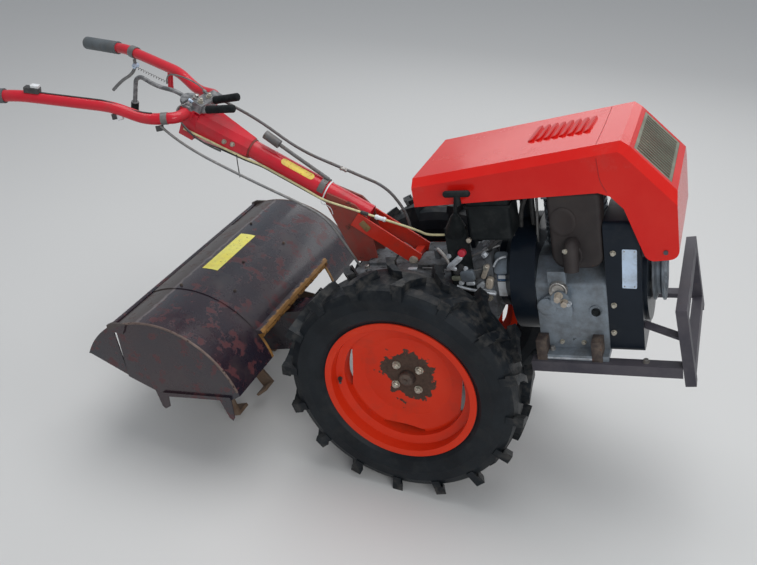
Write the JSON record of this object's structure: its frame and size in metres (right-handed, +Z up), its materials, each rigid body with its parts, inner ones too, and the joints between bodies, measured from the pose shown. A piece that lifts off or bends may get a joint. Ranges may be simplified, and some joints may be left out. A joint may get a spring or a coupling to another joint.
{
  "type": "walking tractor",
  "caption": "Two-wheel walking tractor with a lugged-tyre drive axle, a front engine under a tipping bonnet, a bumper, long handlebars and a rear rotary tiller with a flap.",
  "frame": {"origin": "centre of the whole machine's box on the ground, as it parks on its tyres and tines", "axes": "+X forward to the bumper, +Y to the machine's left, +Z up"},
  "size_m": [1.9384, 0.804, 1.0061],
  "materials": {
    "tyre": "matt",
    "rim_red": "satin",
    "cast_iron": "rough",
    "alloy": "satin",
    "black_paint": "satin",
    "black_casting": "satin",
    "dark_steel": "rough",
    "red_paint": "gloss",
    "black_plastic": "matt",
    "maroon_paint": "worn",
    "cream_plastic": "matt"
  },
  "bodies": {
    "chassis": {"air_filter": "black_plastic", "axle_housing_left": "cast_iron", "axle_housing_right": "cast_iron", "black_cable": "black_plastic", "bonnet_hinge": "dark_steel", "brace": "red_paint", "bumper": "dark_steel", "bumper_stay": "dark_steel", "clutch_bell": "black_casting", "clutch_lever": "black_plastic", "column": "red_paint", "column_sleeve": "red_paint", "column_support": "red_paint", "control_rod": "dark_steel", "crankcase": "alloy", "cream_cable": "cream_plastic", "cylinder": "alloy", "exhaust_outlet": "dark_steel", "exhaust_pipe": "dark_steel", "fan_shroud": "black_paint", "fuel_tank": "black_paint", "gear_lever": "dark_steel", "gearbox": "alloy", "grip_left": "black_plastic", "grip_right": "black_plastic", "handle_head": "red_paint", "handle_left": "red_paint", "handle_right": "red_paint", "intake_pipe": "dark_steel", "muffler": "dark_steel", "rail_left": "dark_steel", "rail_right": "dark_steel", "starter_pulley": "dark_steel", "tiller_case": "cast_iron", "tiller_hood": "maroon_paint"},
    "wheel_left": {"tyre_left": "tyre", "rim_left": "rim_red", "hub_left": "cast_iron"},
    "wheel_right": {"tyre_right": "tyre", "rim_right": "rim_red", "hub_right": "cast_iron"},
    "tiller_rotor": {"rotor": "dark_steel"},
    "rear_flap": {"tiller_flap": "maroon_paint"},
    "bonnet_lid": {"bonnet": "red_paint", "grille": "black_plastic"}
  },
  "joints": [
    {"name": "wheel_left_spin", "type": "hinge", "parent": "chassis", "child": "wheel_left", "pos_m": [0.28514, 0.225, 0.322], "axis": [0, 1, 0], "continuous": true},
    {"name": "wheel_right_spin", "type": "hinge", "parent": "chassis", "child": "wheel_right", "pos_m": [0.28514, -0.225, 0.322], "axis": [0, 1, 0], "continuous": true},
    {"name": "tiller_spin", "type": "hinge", "parent": "chassis", "child": "tiller_rotor", "pos_m": [-0.34442, 0, 0.19125], "axis": [0, 1, 0], "continuous": true},
    {"name": "flap_lift", "type": "hinge", "parent": "chassis", "child": "rear_flap", "pos_m": [-0.48121, 0, 0.40646], "axis": [0, 1, 0], "range_deg": [0, 60]},
    {"name": "bonnet_tip", "type": "hinge", "parent": "chassis", "child": "bonnet_lid", "pos_m": [0.84467, 0, 0.77524], "axis": [0, 1, 0], "range_deg": [0, 60]}
  ]
}
